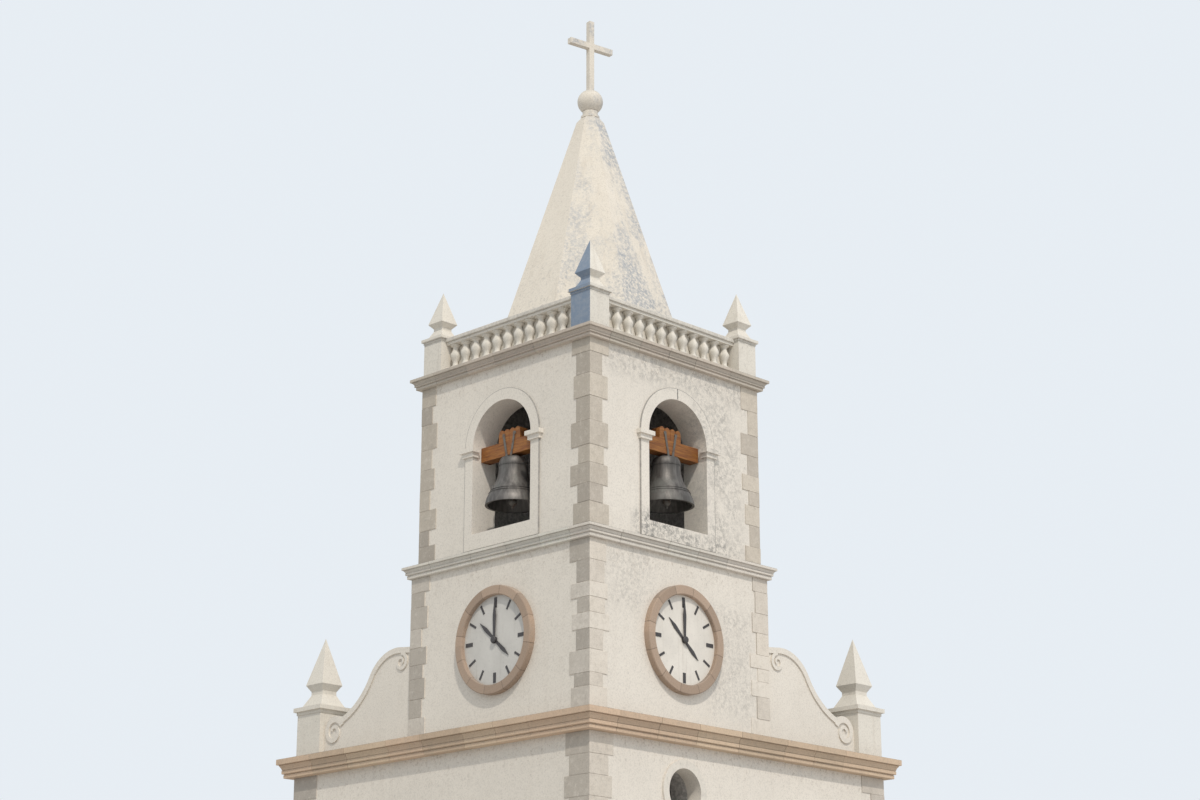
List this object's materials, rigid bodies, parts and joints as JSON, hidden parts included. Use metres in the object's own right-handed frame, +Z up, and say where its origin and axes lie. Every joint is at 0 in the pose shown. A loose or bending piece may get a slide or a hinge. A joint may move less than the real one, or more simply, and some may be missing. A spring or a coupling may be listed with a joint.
{
  "type": "church bell tower",
  "caption": "Whitewashed church bell tower with clock faces, arched belfry, swinging bells, balustrade, pinnacles and a spire with a cross, on a wider square base.",
  "frame": {"origin": "middle of the base block's footprint, on the ground", "axes": "+Z up; -Y and +X are the two faces with clocks; the tower stands at the +X, -Y corner"},
  "size_m": [7.5, 7.5, 20.538],
  "materials": {
    "white_plaster": "matte limewash",
    "pale_quoin_stone": "dressed stone",
    "beige_quoin_stone": "dressed stone",
    "sandstone": "weathered sandstone",
    "pale_moulding": "painted render",
    "weathered_moulding": "weathered render",
    "floor_stone": "rough screed",
    "clock_ring_stone": "dressed stone",
    "clock_dial": "painted slate",
    "black_metal": "matte black",
    "bell_bronze": "patinated bronze",
    "dark_iron": "dull iron",
    "headstock_wood": "oiled hardwood",
    "door_wood": "old stained wood",
    "spire_render": "lichened render"
  },
  "bodies": {
    "tower": {"arch_surrounds": "white_plaster", "base_cornice": "sandstone", "base_quoins": "pale_quoin_stone", "base_wall_back": "white_plaster", "base_wall_front": "white_plaster", "base_wall_left": "white_plaster", "base_wall_right": "white_plaster", "belfry_floor": "floor_stone", "belfry_quoins": "beige_quoin_stone", "belfry_wall_back": "white_plaster", "belfry_wall_front": "white_plaster", "belfry_wall_left": "white_plaster", "belfry_wall_right": "white_plaster", "bell_bearings": "dark_iron", "clock_arbors": "black_metal", "clock_dials": "clock_dial", "clock_hour_marks": "black_metal", "clock_rings": "clock_ring_stone", "clock_stage_quoins": "pale_quoin_stone", "clock_stage_wall_back": "white_plaster", "clock_stage_wall_front": "white_plaster", "clock_stage_wall_left": "white_plaster", "clock_stage_wall_right": "white_plaster", "corner_pinnacles": "pale_moulding", "door_leaf": "door_wood", "door_surround": "sandstone", "ground_floor": "floor_stone", "mid_cornice": "pale_moulding", "oculus_surround": "sandstone", "roof_balustrade": "pale_moulding", "roof_pinnacles": "pale_moulding", "roof_slab": "floor_stone", "scroll_walls": "white_plaster", "spire": "spire_render", "spire_ball": "spire_render", "spire_cross": "spire_render", "terrace_slab": "floor_stone", "top_cornice": "weathered_moulding"},
    "front_bell_body": {"front_bell": "bell_bronze", "front_headstock": "headstock_wood", "front_bell_irons": "dark_iron"},
    "front_clapper_body": {"front_clapper": "dark_iron"},
    "front_hour_hand_body": {"front_hour_hand": "black_metal"},
    "front_minute_hand_body": {"front_minute_hand": "black_metal"},
    "right_bell_body": {"right_bell": "bell_bronze", "right_headstock": "headstock_wood", "right_bell_irons": "dark_iron"},
    "right_clapper_body": {"right_clapper": "dark_iron"},
    "right_hour_hand_body": {"right_hour_hand": "black_metal"},
    "right_minute_hand_body": {"right_minute_hand": "black_metal"}
  },
  "joints": [
    {"name": "front_bell_swing", "type": "hinge", "parent": "tower", "child": "front_bell_body", "pos_m": [1.455, -3.2, 12.275], "axis": [1, 0, 0], "range_deg": [-60, 60]},
    {"name": "front_clapper_swing", "type": "hinge", "parent": "front_bell_body", "child": "front_clapper_body", "pos_m": [1.455, -3.2, 11.935], "axis": [1, 0, 0], "range_deg": [-30, 30]},
    {"name": "front_minute_hand_turn", "type": "hinge", "parent": "tower", "child": "front_minute_hand_body", "pos_m": [1.455, -3.51, 9.08], "axis": [0, 1, 0], "continuous": true},
    {"name": "front_hour_hand_turn", "type": "hinge", "parent": "tower", "child": "front_hour_hand_body", "pos_m": [1.455, -3.51, 9.08], "axis": [0, 1, 0], "continuous": true},
    {"name": "right_bell_swing", "type": "hinge", "parent": "tower", "child": "right_bell_body", "pos_m": [3.2, -1.455, 12.275], "axis": [0, 1, 0], "range_deg": [-60, 60]},
    {"name": "right_clapper_swing", "type": "hinge", "parent": "right_bell_body", "child": "right_clapper_body", "pos_m": [3.2, -1.455, 11.935], "axis": [0, 1, 0], "range_deg": [-30, 30]},
    {"name": "right_minute_hand_turn", "type": "hinge", "parent": "tower", "child": "right_minute_hand_body", "pos_m": [3.51, -1.455, 9.08], "axis": [-1, 0, 0], "continuous": true},
    {"name": "right_hour_hand_turn", "type": "hinge", "parent": "tower", "child": "right_hour_hand_body", "pos_m": [3.51, -1.455, 9.08], "axis": [-1, 0, 0], "continuous": true}
  ],
  "couplings": [
    {"joint": "front_hour_hand_turn", "follows": "front_minute_hand_turn", "ratio": 0.083333},
    {"joint": "right_hour_hand_turn", "follows": "right_minute_hand_turn", "ratio": 0.083333}
  ]
}
